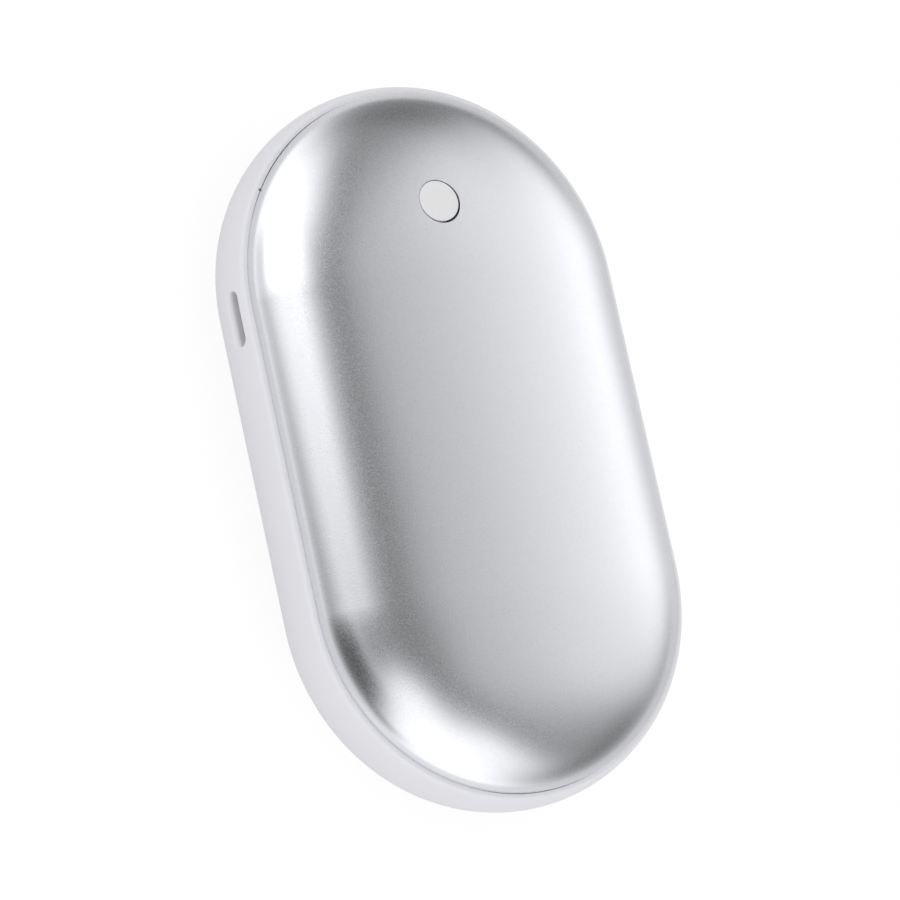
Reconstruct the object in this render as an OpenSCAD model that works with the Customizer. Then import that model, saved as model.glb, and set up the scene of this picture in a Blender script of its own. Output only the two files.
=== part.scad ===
// Rechargeable hand warmer lying on its back: +Z up, +Y towards the button's end.
// The origin is under the middle of the body, on the surface that it rests on.

/* [Body] */
// Width over the white belt
body_w = 58; // [54:0.5:70]
// Length over the white belt
body_l = 100; // [92:1:130]
// Height of the front dome above its seam
front_dome_h = 7.2; // [6.4:0.1:12]
// Height of the back dome below its seam
back_dome_h = 7.2; // [6.4:0.1:12]
// Width of the flat land that the back rests on
back_land_w = 18; // [8:1:30]

/* [Belt] */
// Height of the belt from seam to seam
belt_h = 8.4; // [8:0.1:12]
// How far the belt's side swells past its shoulders
belt_swell = 0.65; // [0.3:0.05:1.2]
// Radius of the belt's shoulders
shoulder_r = 0.7; // [0.3:0.05:0.9]
// How far the belt's shoulders stand out past the shells
belt_ledge = 1.05; // [1:0.05:2]
// Gap of the seam round each shell's rim
seam_gap = 0.07; // [0.04:0.01:0.15]
// How deep each shell's rim sits in the belt
rim_depth = 0.4; // [0.3:0.05:0.6]
// Width of the seat under each shell's rim
rim_seat = 0.9; // [0.8:0.05:1.2]
// Thickness of the web inside the belt
web_t = 1.6; // [1.2:0.1:2.2]

/* [Shells and liners] */
// Thickness of the aluminium
shell_t = 0.8; // [0.6:0.05:1]
// Space between a shell and its liner, where the heater lies
liner_gap = 0.45; // [0.4:0.05:0.8]
// Thickness of the liners
liner_t = 1.2; // [1:0.1:1.5]
// Thickness of the ribs inside the liners
rib_t = 1.2; // [0.8:0.1:2]
// Distance between neighbouring ribs
rib_pitch = 11; // [8:0.5:13]

/* [Button] */
// Diameter of the button's cap
button_d = 5.8; // [4.6:0.1:8]
// Gap between the cap and the edge of its hole in the shell
button_gap = 0.2; // [0.12:0.02:0.4]
// Distance from the end of the body to the button's axis
button_from_end = 18.9; // [17:0.1:22]
// How far the button travels before its snap dome meets the contact
button_travel = 0.3; // [0.2:0.05:0.45]
// Clearance between the cap and its sleeve
sleeve_gap = 0.08; // [0.05:0.01:0.1]
// Wall of the sleeve
sleeve_wall = 1; // [0.8:0.1:1.6]
// Length of the sleeve below the liner
sleeve_l = 1.4; // [1:0.1:2]
// How far the cap's flange stands out under the sleeve
flange_w = 0.9; // [0.6:0.1:1.4]
// Thickness of the flange
flange_t = 0.8; // [0.6:0.1:1.2]
// Diameter of the cap's stem
stem_d = 2.8; // [2:0.1:3.2]
// Gap between the flange and the sleeve that stops it
stop_gap = 0.04; // [0.02:0.01:0.1]

/* [Switch] */
// Width of the switch
switch_w = 6; // [5.6:0.1:7]
// Height of the switch's black body
switch_body_h = 3.2; // [2.6:0.1:3.6]
// Thickness of the switch's metal cover
switch_cover_t = 0.3; // [0.2:0.05:0.4]
// How far the plunger stands out of the cover
plunger_rise = 1.2; // [0.8:0.1:1.8]
// Diameter of the plunger
plunger_d = 3.4; // [3:0.1:3.6]
// Clearance round the plunger
plunger_gap = 0.1; // [0.06:0.01:0.2]
// Thickness of the plunger's foot
plunger_foot_t = 0.5; // [0.4:0.1:0.8]
// Height of the metal snap dome
snap_h = 0.6; // [0.55:0.05:0.8]
// Thickness of the snap dome
snap_t = 0.1; // [0.06:0.02:0.16]

/* [Charging port] */
// Distance from the end of the body to the middle of the port
port_from_end = 30.1; // [27:0.1:34]
// Distance of the port's middle below the front seam
port_drop = 2.3; // [2:0.1:2.6]
// Length of the slot in the belt
slot_l = 7.5; // [7.2:0.1:9]
// Height of the slot in the belt
slot_h = 2.1; // [2.1:0.05:2.8]
// Depth from the belt's side to the mouth of the port
port_recess = 1.3; // [1.2:0.1:1.8]
// Width of the port's metal shell
port_w = 7.5; // [7:0.1:8]
// Height of the port's metal shell
port_h = 2.45; // [2.2:0.05:2.6]
// Length of the port's metal shell
port_l = 5; // [4.6:0.1:6]
// Thickness of the port's metal shell
port_t = 0.25; // [0.2:0.05:0.3]
// Clearance round the port in the belt and the liner
port_clear = 0.2; // [0.1:0.05:0.25]
// Number of contacts
contact_count = 5; // [4:1:6]
// Distance between neighbouring contacts
contact_pitch = 0.65; // [0.5:0.01:0.7]

/* [Circuit board] */
// Thickness of the board
board_t = 1; // [0.8:0.1:1.6]
// Gap between the board's edge and the liner
board_gap = 0.4; // [0.3:0.05:0.8]
// Width of the board's edge that rests on the web
board_seat = 0.95; // [0.8:0.05:1.6]
// How far the board reaches past the port on the battery's side
board_margin = 2; // [1.5:0.1:4]
// Distance of the board's screws from its rounded edge
board_screw_inset = 3.4; // [3:0.1:4]

/* [Battery] */
// Width of the cell
cell_w = 34; // [30:0.5:36]
// Thickness of the cell
cell_t = 10; // [8:0.5:10.5]
// Radius of the cell's long edges
cell_r = 2; // [1:0.25:3]
// Clearance between the cell's corners and the liners
cell_clear = 0.6; // [0.4:0.1:1.2]
// Width of the strip beside the board that holds the protection board
strip_w = 5; // [4.8:0.1:7]
// Thickness of the protection board
strip_board_t = 0.8; // [0.6:0.1:1]
// Length of the protection board
strip_board_l = 26; // [22:1:30]
// Thickness of the foam pads
foam_t = 2.2; // [1:0.1:2.4]
// Width of the foam pads
foam_w = 24; // [16:1:26]
// Width of the tape bands round the cell
tape_w = 5; // [3:0.5:8]
// Thickness of the tape
tape_t = 0.08; // [0.06:0.01:0.12]

/* [Heaters] */
// Thickness of the heater film
film_t = 0.15; // [0.1:0.01:0.18]
// Thickness of the glue under the film
glue_t = 0.05; // [0.03:0.01:0.08]
// Thickness of the etched track
track_t = 0.05; // [0.03:0.01:0.06]
// Width of the heater film
film_w = 34; // [24:1:38]
// Width of the etched track
track_w = 1; // [0.6:0.1:1.4]
// Number of pairs of runs of the track
track_pairs = 6; // [4:1:7]
// Distance from the film's edge to the track
track_margin = 2; // [1.5:0.1:3]

/* [Screws] */
// Diameter of the frame screws' thread
frame_screw_d = 2; // [1.6:0.1:2.4]
// Length of the frame screws below the head
frame_screw_l = 10; // [8:0.5:10.5]
// Distance between the frame screws along the body
frame_screw_pitch = 32; // [24:0.5:34]
// Diameter of the board screws' thread
board_screw_d = 1.6; // [1.4:0.1:2]
// Length of the board screws below the head
board_screw_l = 4; // [3:0.5:5]
// Plastic round each screw
boss_wall = 1.1; // [0.9:0.1:1.3]
// Plastic under the head of each frame screw
boss_grip = 3.2; // [2.6:0.1:4]
// Gap between the cell and the screw bosses
boss_gap = 0.8; // [0.6:0.1:1.2]

/* [Wiring] */
// Diameter of the battery's leads
battery_lead_d = 1.3; // [1:0.1:1.6]
// Diameter of the heaters' leads
heater_lead_d = 1; // [0.8:0.1:1.2]
// Diameter of the thermistor's leads
sensor_lead_d = 0.5; // [0.4:0.1:0.7]
// Height of a solder joint
solder_h = 0.5; // [0.3:0.1:0.7]
// Diameter of the thermistor's bead
sensor_d = 1.6; // [1.2:0.1:2]
// Length of the thermistor's bead
sensor_l = 3; // [2.4:0.2:4]

/* [Hidden] */
$fn = 96;

// Straight pieces in a dome's outline, in an arc of the belt and across a heater film
dome_steps = 24;
arc_steps = 6;
film_steps = 24;
// Sides of a wire and rings along it
wire_sides = 8;
wire_steps = 12;
// How far a cut runs past the face it opens, and a length that crosses the whole body
over = 1;
reach = body_l;

// Heights of the seams and of the belt's middle
back_seam_z = back_dome_h;
front_seam_z = back_seam_z + belt_h;
mid_z = back_seam_z + belt_h / 2;

// Half the straight part of the plan, and distances from the body's centre line
straight = (body_l - body_w) / 2;
end_r = body_w / 2;
shell_r = end_r - belt_swell - belt_ledge;
seat_r = shell_r - rim_seat;
liner_inset = shell_t + liner_gap;
liner_r = shell_r - liner_inset;
cavity_r = liner_r - liner_t;
land_r = back_land_w / 2;
board_r = cavity_r - board_gap;
web_r = board_r - board_seat;

// Inner heights of the two domes, measured from their seams
front_cavity_h = front_dome_h - liner_inset - liner_t;
back_cavity_h = back_dome_h - liner_inset - liner_t;

// The belt's side is one arc that runs into the shoulders' arcs
half_belt = belt_h / 2;
flank = half_belt - shoulder_r;
lean_start = 2 * atan(belt_swell / flank);
lean_next = 2 * atan(belt_swell / (flank + shoulder_r * sin(lean_start)));
lean = 2 * atan(belt_swell / (flank + shoulder_r * sin(lean_next)));
side_r = belt_swell / (1 - cos(lean));
corner_r = end_r - belt_swell - shoulder_r * cos(lean);

// The charging port, and the board that carries it
port_y = body_l / 2 - port_from_end;
port_z = front_seam_z - port_drop;
tab_wing = 0.5;
tab_half_w = port_w / 2 + tab_wing;
pocket_half_w = tab_half_w + port_clear;
board_top_z = port_z - port_h / 2;
web_top_z = board_top_z - board_t;
web_bottom_z = web_top_z - web_t;
board_y0 = port_y - port_w / 2 - board_margin;

// The sides draw in where the pocket's corner reaches into the body's rounded end
port_turn = max(0, port_y + pocket_half_w - straight);
side_at_port = sqrt(pow(end_r, 2) - pow(port_turn, 2));
seat_at_port = sqrt(pow(seat_r, 2) - pow(port_turn, 2));
cavity_at_port = sqrt(pow(cavity_r, 2) - pow(port_turn, 2));
pocket_x = port_recess - side_at_port;
mouth_x = pocket_x + port_clear;
port_back_x = mouth_x + port_l;
tab_x = port_clear - seat_at_port;

// Inside the port: side chamfers, tongue, insulator block and contacts
port_chamfer = 0.8;
tongue_w = 3.8;
tongue_t = 0.6;
tongue_back = 0.8;
tongue_z = port_z + 0.1;
block_l = 1.2;
contact_w = 0.3;
contact_t = 0.15;
contact_foot = 0.7;

// The button's axis, and the stack from its cap down to the board
button_y = body_l / 2 - button_from_end;
button_rho = button_y - straight;
cap_r = button_d / 2;
sleeve_z = front_seam_z + rise(button_rho, cavity_r, front_cavity_h) - sleeve_l;
sleeve_r = cap_r + sleeve_gap;
flange_top_z = sleeve_z - stop_gap;
flange_z = flange_top_z - flange_t;
switch_top_z = board_top_z + switch_body_h;
cover_top_z = switch_top_z + switch_cover_t;
plunger_top_z = cover_top_z + plunger_rise;
plunger_r = plunger_d / 2;
foot_lip = 0.4;
foot_r = plunger_r + foot_lip;
foot_top_z = switch_top_z - stop_gap;
foot_z = foot_top_z - plunger_foot_t;
snap_z = foot_z - snap_h - stop_gap;
snap_r = foot_r - plunger_gap;
leg_y = 2.25;
leg_w = 0.8;
leg_t = 0.2;
leg_rise = 1.2;
leg_foot = 1;
contact_r = 0.7;
contact_h = snap_h - snap_t - button_travel;

// The web's lobes, the screws and their bosses
head_ratio = 0.95;
head_clear = 0.2;
head_h = 1.3;
screw_fit = 0.03;
screw_spare = 0.6;
hole_clear = 0.15;
head_r = frame_screw_d * head_ratio;
head_wall = 0.8;
lobe_r = head_r + head_clear + head_wall;
boss_r = frame_screw_d / 2 + boss_wall;
gusset_t = 1.2;
frame_screw_x = cell_w / 2 + boss_gap + lobe_r;
frame_screw_y1 = board_y0 - board_gap - lobe_r;
frame_screw_y0 = frame_screw_y1 - frame_screw_pitch;
frame_screw_places = [
    for (sx = [-1, 1], y = [frame_screw_y0, frame_screw_y1]) [sx * frame_screw_x, y]
];
bridge_x = (web_r + seat_r) / 2;
seat_z = web_bottom_z - boss_grip;
board_screw_rho = (board_r - board_screw_inset) * sin(45);
board_screw_places = [for (sx = [-1, 1]) [sx * board_screw_rho, straight + board_screw_rho]];
board_bridge_rho = web_r * sin(45);
board_bridge_places = [for (sx = [-1, 1]) [sx * board_bridge_rho, straight + board_bridge_rho]];
board_boss_r = board_screw_d / 2 + boss_wall;
board_tip_z = board_top_z - board_screw_l;
board_head_r = board_screw_d * head_ratio;
board_head_h = 1.1;
recess_w = 0.4;
recess_depth = 0.6;

// The cell fills the room between the protection board's strip and the body's far end
cell_half_w = cell_w / 2;
cell_top_z = mid_z + cell_t / 2;
cell_bottom_z = mid_z - cell_t / 2;
cell_y1 = board_y0 - board_gap - strip_w;
front_need = max(0, cell_top_z + cell_clear - front_seam_z);
back_need = max(0, back_seam_z - cell_bottom_z + cell_clear);
front_fit_r = cavity_r * sqrt(1 - pow(front_need / front_cavity_h, 2));
back_fit_r = land_r + (cavity_r - land_r) * sqrt(1 - pow(back_need / back_cavity_h, 2));
cell_corner_r = min(web_r - cell_clear, front_fit_r, back_fit_r);
cell_y0 = -straight - sqrt(pow(cell_corner_r, 2) - pow(cell_half_w, 2));
tab_strip_x = 8;
tab_strip_w = 3;
tab_strip_t = 0.15;
tab_strip_grip = 1.5;
strip_gap = 1.2;
strip_y0 = cell_y1 + strip_gap;
strip_y1 = cell_y1 + strip_w;
tape_inset = 1.5;
tape_foam_gap = 0.5;
foam_y0 = cell_y0 + tape_inset + tape_w + tape_foam_gap;
foam_y1 = cell_y1 - tape_inset - tape_w - tape_foam_gap;
foam_l = foam_y1 - foam_y0;
rib_count = 1 + floor((foam_l - rib_t) / rib_pitch);
rib_y0 = (foam_y0 + foam_y1 - (rib_count - 1) * rib_pitch) / 2;

// The heater films lie on the straight part of the shells
film_end_gap = 1;
film_half_l = straight - film_end_gap;
film_inset = shell_t + glue_t;
track_inset = film_inset + film_t;
film_inner = track_inset + track_t;
track_runs = 2 * track_pairs;
track_pitch = (film_w - 2 * track_margin - track_w) / (track_runs - 1);
track_y1 = film_half_l - track_margin;
track_y0 = -track_y1;
track_x0 = track_margin - film_w / 2;
bus_step = 2.2 * track_w;
bus_end = 1.2;

// Where the leads are soldered, on the films and on the board
pad_x = 2.4;
pad_inset = 2.6;
film_pad_y = track_y1 - track_w / 2;
board_pad_y = board_y0 + pad_inset;
strip_pad_y = (strip_y0 + strip_y1) / 2;
battery_pad_x = 10;
solder_spread = 0.25;
solder_gap = 0.1;
lead_slack = 3;
arch_h = 4.5;
window_w = 2 * pad_x + 4 * heater_lead_d;
window_room = 2;
window_y0 = min(board_pad_y, film_pad_y) - window_room;
window_y1 = max(board_pad_y, film_pad_y) + window_room;
front_pad_z = front_seam_z + rise(pad_x, shell_r - film_inner, front_dome_h - film_inner);
back_pad_z = film_inner;
solder_drop = 0.05;

// The thermistor rests on the back shell beside the film
sensor_x = 6;
sensor_lift = 0.02;
sensor_y0 = film_half_l + film_end_gap;
sensor_far = norm([sensor_x + sensor_d / 2, sensor_y0 + sensor_l - straight]);
sensor_floor_z = back_seam_z - across(sensor_far, shell_r - shell_t, back_dome_h - shell_t, land_r);
sensor_z = sensor_floor_z + sensor_lift + sensor_d / 2;
sensor_lead_x = 0.4;
sensor_lead_run = 3;
sensor_pad_x = solder_r(sensor_lead_d) + solder_gap;
sensor_pad_y = sensor_y0 + sensor_l + sensor_lead_run - sensor_lead_d;
sensor_window = 0.5;

// Small parts on the board: the chips lie midway between the leads' joints and the switch
chip_h = 1.5;
chip_y = (board_pad_y + solder_r(heater_lead_d) + button_y - switch_w / 2) / 2;
charger_x = -12.5;
charger_size = [4.9, 3.9];
controller_x = 0;
controller_size = [9.9, 3.9];
transistor_x = 12.2;
transistor_pitch = 2.4;
transistor_size = [1.4, 2.9, 1.1];
led_size = [1.25, 2, 0.8];
led_x = switch_w / 2 + 2.4;
capacitor_size = [1.3, 2, 0.9];
resistor_size = [0.8, 1.6, 0.45];
small_y = button_y - switch_w / 4;
small_x = 8.4;
resistor_count = 5;
resistor_pitch = 1.9;
resistor_places = [for (i = [0 : resistor_count - 1]) [small_x + i * resistor_pitch, small_y]];
capacitor_pitch = 2.8;
capacitor_places = [for (i = [0 : 3]) [-small_x - i * capacitor_pitch, small_y]];
strip_chip_x = 3;
strip_chip_size = [3, 2.2, 0.9];

// Height of an elliptical dome at the distance r from the body's centre line
function rise(r, dome_r, h) = h * sqrt(1 - pow(r / dome_r, 2));

// Outline of a dome in section, from its crown out to its rim
function dome(dome_r, h, land = 0) = concat(
    land > 0 ? [[0, h]] : [],
    [
        for (i = [0 : dome_steps])
            let (a = 90 * i / dome_steps)
            [land + (dome_r - land) * sin(a), h * cos(a)]
    ]
);

// Height of a dome with a flat land at the distance x from the body's centre line
function across(x, dome_r, h, land) = rise(max(0, abs(x) - land), dome_r - land, h);

// Radius of the foot of a solder joint for a lead of diameter d
function solder_r(d) = d / 2 + 2 * solder_spread;

function reversed(list) = [for (i = [len(list) - 1 : -1 : 0]) list[i]];

// Points of an arc about [x, y]
function arc(x, y, r, from, to, steps) = [
    for (i = [0 : steps])
        let (a = from + (to - from) * i / steps)
        [x + r * cos(a), y + r * sin(a)]
];

// Place and direction along a smooth curve through a wire's four guide points
function along(p, t) =
    pow(1 - t, 3) * p[0] + 3 * pow(1 - t, 2) * t * p[1] + 3 * (1 - t) * t * t * p[2] + pow(t, 3) * p[3];
function heading(p, t) =
    let (d = pow(1 - t, 2) * (p[1] - p[0]) + 2 * (1 - t) * t * (p[2] - p[1]) + t * t * (p[3] - p[2]))
    d / norm(d);

// One ring of a wire's surface; wires run across the X axis
function wire_ring(p, t, r) =
    let (ahead = heading(p, t), up = cross(ahead, [1, 0, 0]), u = up / norm(up), v = cross(ahead, u))
    [
        for (k = [0 : wire_sides - 1])
            let (a = 360 * k / wire_sides)
            along(p, t) + r * (cos(a) * u + sin(a) * v)
    ];

module wire(p, d) {
    rings = [for (i = [0 : wire_steps]) each wire_ring(p, i / wire_steps, d / 2)];
    last = wire_steps * wire_sides;
    sides = [
        for (i = [0 : wire_steps - 1], k = [0 : wire_sides - 1])
            let (a = i * wire_sides + k, b = i * wire_sides + (k + 1) % wire_sides)
            each [[a, b, b + wire_sides], [a, b + wire_sides, a + wire_sides]]
    ];
    start_cap = [for (k = [wire_sides - 1 : -1 : 0]) k];
    end_cap = [for (k = [0 : wire_sides - 1]) last + k];
    polyhedron(rings, concat(sides, [start_cap, end_cap]));
}

// Sweeps a half section round the body's plan
module round_body() {
    translate([0, straight, 0])
        rotate_extrude(angle = 180) children();
    translate([0, -straight, 0])
        rotate([0, 0, 180])
            rotate_extrude(angle = 180) children();
    rotate([90, 0, 0])
        linear_extrude(2 * straight, center = true) {
            children();
            mirror([1, 0]) children();
        }
}

// A dome's section stands on its seam, facing up for the front and down for the back
module on_front() {
    translate([0, 0, front_seam_z]) children();
}

module on_back() {
    translate([0, 0, back_seam_z])
        mirror([0, 0, 1]) children();
}

module shell_section(h, land) {
    outer = dome(shell_r, h, land);
    inner = dome(shell_r - shell_t, h - shell_t, land);
    rim = [[shell_r, -rim_depth], [shell_r - shell_t, -rim_depth]];
    polygon(concat(outer, rim, reversed(inner)));
}

module liner_section(h, land, skirt) {
    outer = dome(liner_r, h - liner_inset, land);
    inner = dome(cavity_r, h - liner_inset - liner_t, land);
    rim = [[liner_r, -skirt], [cavity_r, -skirt]];
    polygon(concat(outer, rim, reversed(inner)));
}

module liner_filled(h, land, skirt) {
    polygon(concat(dome(liner_r, h - liner_inset, land), [[liner_r, -skirt], [0, -skirt]]));
}

module glue_section() {
    translate([liner_r, -rim_depth]) square([liner_gap, rim_depth]);
}

module belt_section() {
    rebate_z = half_belt - rim_depth;
    rebate_r = shell_r + seam_gap;
    upper = arc(corner_r, flank, shoulder_r, 90, lean, arc_steps);
    side = arc(end_r - side_r, 0, side_r, lean, -lean, 2 * arc_steps);
    lower = arc(corner_r, -flank, shoulder_r, -lean, -90, arc_steps);
    top_lip = [[seat_r, rebate_z], [rebate_r, rebate_z], [rebate_r, half_belt]];
    bottom_lip = [[rebate_r, -half_belt], [rebate_r, -rebate_z], [seat_r, -rebate_z]];
    polygon(concat(top_lip, upper, [for (i = [1 : len(side) - 2]) side[i]], lower, bottom_lip));
}

module web_section() {
    translate([web_r, web_bottom_z]) square([seat_r - web_r + rim_seat / 2, web_t]);
}

// A box between two opposite corners
module block(low, high) {
    translate(low) cube(high - low);
}

module rounded_rect(w, h, r) {
    square([w - 2 * r, h], center = true);
    square([w, h - 2 * r], center = true);
    for (sx = [-1, 1], sy = [-1, 1])
        translate([sx * (w / 2 - r), sy * (h / 2 - r)]) circle(r);
}

// Stands a section drawn in X and Z along the body, from y0 to y1
module along_body(y0, y1) {
    translate([0, y1, 0])
        rotate([90, 0, 0])
            linear_extrude(y1 - y0) children();
}

module front_shell() {
    color("#c9cbce")
        difference() {
            on_front() round_body() shell_section(front_dome_h, 0);
            translate([0, button_y, front_seam_z])
                cylinder(r = cap_r + button_gap, h = front_dome_h + over);
        }
}

module back_shell() {
    color("#c9cbce")
        on_back() round_body() shell_section(back_dome_h, land_r);
}

// The slot in the belt's left side and the pocket behind it for the port
module port_slot() {
    slot_end = (slot_l - slot_h) / 2;
    translate([-end_r - over, port_y, port_z])
        rotate([0, 90, 0]) {
            for (sy = [-1, 1])
                translate([0, sy * slot_end, 0]) cylinder(d = slot_h, h = port_recess + 2 * over);
            translate([-slot_h / 2, -slot_end, 0]) cube([slot_h, 2 * slot_end, port_recess + 2 * over]);
        }
    block(
        [pocket_x, port_y - pocket_half_w, web_top_z],
        [over - seat_at_port, port_y + pocket_half_w, port_z + port_h / 2 + port_clear]
    );
}

module mid_frame() {
    color("#e9e9ee")
        difference() {
            union() {
                translate([0, 0, mid_z]) round_body() belt_section();
                round_body() web_section();
                for (p = concat(frame_screw_places, board_screw_places))
                    translate([p[0], p[1], web_bottom_z]) cylinder(r = lobe_r, h = web_t);
                for (p = frame_screw_places)
                    block(
                        [min(p[0], sign(p[0]) * bridge_x), p[1] - boss_r, web_bottom_z],
                        [max(p[0], sign(p[0]) * bridge_x), p[1] + boss_r, web_top_z]
                    );
                for (p = board_screw_places)
                    translate([p[0], p[1], board_tip_z - screw_spare - boss_wall])
                        cylinder(r = board_boss_r, h = web_top_z - board_tip_z + screw_spare + boss_wall);
                for (p = board_bridge_places)
                    translate([p[0], p[1], web_bottom_z]) cylinder(r = boss_r, h = web_t);
            }
            port_slot();
            for (p = frame_screw_places)
                translate([p[0], p[1], web_bottom_z - over])
                    cylinder(r = frame_screw_d / 2 + hole_clear, h = web_t + 2 * over);
            for (p = board_screw_places)
                translate([p[0], p[1], board_tip_z - screw_spare])
                    cylinder(r = board_screw_d / 2 + screw_fit, h = reach);
        }
}

// Ribs across the body that press a foam pad against the cell, from z up into a liner
module ribs(z, h) {
    for (i = [0 : rib_count - 1])
        translate([-foam_w / 2, rib_y0 + i * rib_pitch - rib_t / 2, z]) cube([foam_w, rib_t, h]);
}

// Window in a liner for the heater's leads
module lead_window() {
    block([-window_w / 2, window_y0, -over], [window_w / 2, window_y1, reach]);
}

module front_liner() {
    skirt = front_seam_z - web_top_z;
    foam_top_z = cell_top_z + foam_t;
    color("#3c3e42")
        difference() {
            union() {
                on_front() round_body() liner_section(front_dome_h, 0, skirt);
                intersection() {
                    on_front() round_body() liner_filled(front_dome_h, 0, skirt);
                    union() {
                        for (p = frame_screw_places) {
                            translate([p[0], p[1], web_top_z])
                                cylinder(r = boss_r, h = front_dome_h + skirt);
                            translate([0, p[1] - gusset_t / 2, web_top_z + gusset_t])
                                block(
                                    [min(p[0], sign(p[0]) * liner_r), 0, 0],
                                    [max(p[0], sign(p[0]) * liner_r), gusset_t, reach]
                                );
                        }
                        translate([0, button_y, sleeve_z]) cylinder(r = sleeve_r + sleeve_wall, h = reach);
                        ribs(foam_top_z, front_dome_h);
                    }
                }
            }
            for (p = frame_screw_places)
                translate([p[0], p[1], web_top_z - over])
                    cylinder(
                        r = frame_screw_d / 2 + screw_fit,
                        h = seat_z + frame_screw_l + screw_spare - web_top_z + over
                    );
            translate([0, button_y, sleeve_z - over])
                cylinder(r = sleeve_r, h = front_dome_h + sleeve_l + over);
            block(
                [-end_r, port_y - pocket_half_w, web_top_z - over],
                [over - cavity_at_port, port_y + pocket_half_w, port_z + port_h / 2 + port_clear]
            );
            lead_window();
        }
}

module back_liner() {
    skirt = web_bottom_z - back_seam_z;
    color("#3c3e42")
        difference() {
            union() {
                on_back() round_body() liner_section(back_dome_h, land_r, skirt);
                intersection() {
                    on_back() round_body() liner_filled(back_dome_h, land_r, skirt);
                    union() {
                        for (p = frame_screw_places)
                            translate([p[0], p[1], 0]) cylinder(r = lobe_r, h = web_bottom_z);
                        ribs(0, cell_bottom_z - foam_t);
                    }
                }
            }
            for (p = frame_screw_places) {
                translate([p[0], p[1], -over]) cylinder(r = frame_screw_d / 2 + hole_clear, h = reach);
                translate([p[0], p[1], -over]) cylinder(r = head_r + head_clear, h = seat_z + over);
            }
            block([-window_w / 2, window_y0, -over], [window_w / 2, window_y1, web_bottom_z]);
            block(
                [sensor_x - sensor_d / 2 - sensor_window, sensor_y0 - sensor_window, -over],
                [
                    sensor_x + sensor_d / 2 + sensor_window,
                    sensor_y0 + sensor_l + sensor_lead_run + sensor_window,
                    web_bottom_z
                ]
            );
        }
}

module front_glue() {
    color("#d8d2b8")
        on_front() round_body() glue_section();
}

module back_glue() {
    color("#d8d2b8")
        on_back() round_body() glue_section();
}

// All that lies inside the front shell's outer face, down past the belt
module front_filled() {
    on_front() round_body()
        polygon(concat(dome(shell_r, front_dome_h), [[shell_r, -belt_h], [0, -belt_h]]));
}

// The cap's top follows the shell's face, so it lies flush at rest
module button_cap() {
    flange_r = cap_r + flange_w;
    head_z = front_seam_z + front_dome_h;
    lower = [[0, plunger_top_z], [stem_d / 2, plunger_top_z], [stem_d / 2, flange_z], [flange_r, flange_z]];
    upper = [[flange_r, flange_top_z], [cap_r, flange_top_z], [cap_r, head_z], [0, head_z]];
    color("#eeeeee")
        intersection() {
            translate([0, button_y, 0]) rotate_extrude() polygon(concat(lower, upper));
            front_filled();
        }
}

module switch_plunger() {
    color("#2b2b2b")
        translate([0, button_y, foot_z]) {
            cylinder(r = foot_r, h = plunger_foot_t);
            cylinder(r = plunger_r, h = plunger_top_z - foot_z);
        }
}

// A shallow metal dome under the plunger's foot
module switch_dome() {
    ball_r = (pow(snap_r, 2) + pow(snap_h, 2)) / (2 * snap_h);
    edge = asin(snap_r / ball_r);
    outer = arc(0, snap_h - ball_r, ball_r, 90 - edge, 90, arc_steps);
    inner = arc(0, snap_h - ball_r, ball_r - snap_t, 90, 90 - edge, arc_steps);
    color("#c7a860")
        translate([0, button_y, snap_z])
            rotate_extrude()
                intersection() {
                    polygon(concat(outer, inner));
                    square([snap_r, snap_h]);
                }
}

module switch_body() {
    color("#1e1e20")
        difference() {
            translate([-switch_w / 2, button_y - switch_w / 2, board_top_z])
                cube([switch_w, switch_w, switch_body_h]);
            translate([0, button_y, snap_z]) cylinder(r = foot_r + plunger_gap, h = switch_body_h);
        }
}

module switch_cover() {
    color("#c4c6c8")
        difference() {
            translate([-switch_w / 2, button_y - switch_w / 2, switch_top_z])
                cube([switch_w, switch_w, switch_cover_t]);
            translate([0, button_y, switch_top_z - over])
                cylinder(r = plunger_r + plunger_gap, h = switch_cover_t + 2 * over);
        }
}

// The switch's legs, and its contact under the snap dome
module switch_legs() {
    color("#c4c6c8") {
        for (sx = [0, 1], sy = [-1, 1])
            mirror([sx, 0, 0])
                translate([switch_w / 2, button_y + sy * leg_y - leg_w / 2, board_top_z]) {
                    cube([leg_t, leg_w, leg_rise]);
                    cube([leg_foot, leg_w, leg_t]);
                }
        translate([0, button_y, snap_z]) cylinder(r = contact_r, h = contact_h);
    }
}

module main_pcb() {
    color("#1f6b3f")
        difference() {
            union() {
                intersection() {
                    round_body() translate([0, web_top_z]) square([board_r, board_t]);
                    block([-reach, board_y0, 0], [reach, reach, reach]);
                }
                block(
                    [tab_x, port_y - tab_half_w, web_top_z],
                    [tab_x + port_l, port_y + tab_half_w, board_top_z]
                );
            }
            for (p = board_screw_places)
                translate([p[0], p[1], web_top_z - over])
                    cylinder(r = board_screw_d / 2 + hole_clear, h = board_t + 2 * over);
        }
}

// Cross section of the port's metal shell, drawn in Y and Z and shrunk by inset
module port_outline(inset) {
    w = port_w / 2 - inset;
    h = port_h / 2 - inset;
    polygon([[-w, h], [w, h], [w, port_chamfer - h], [w - port_chamfer, -h], [port_chamfer - w, -h],
        [-w, port_chamfer - h]]);
}

// Stands a section drawn in Y and Z along X, from x0 to x1, at the port's height
module across_port(x0, x1) {
    translate([x0, port_y, port_z])
        rotate([90, 0, 90])
            linear_extrude(x1 - x0) children();
}

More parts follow.
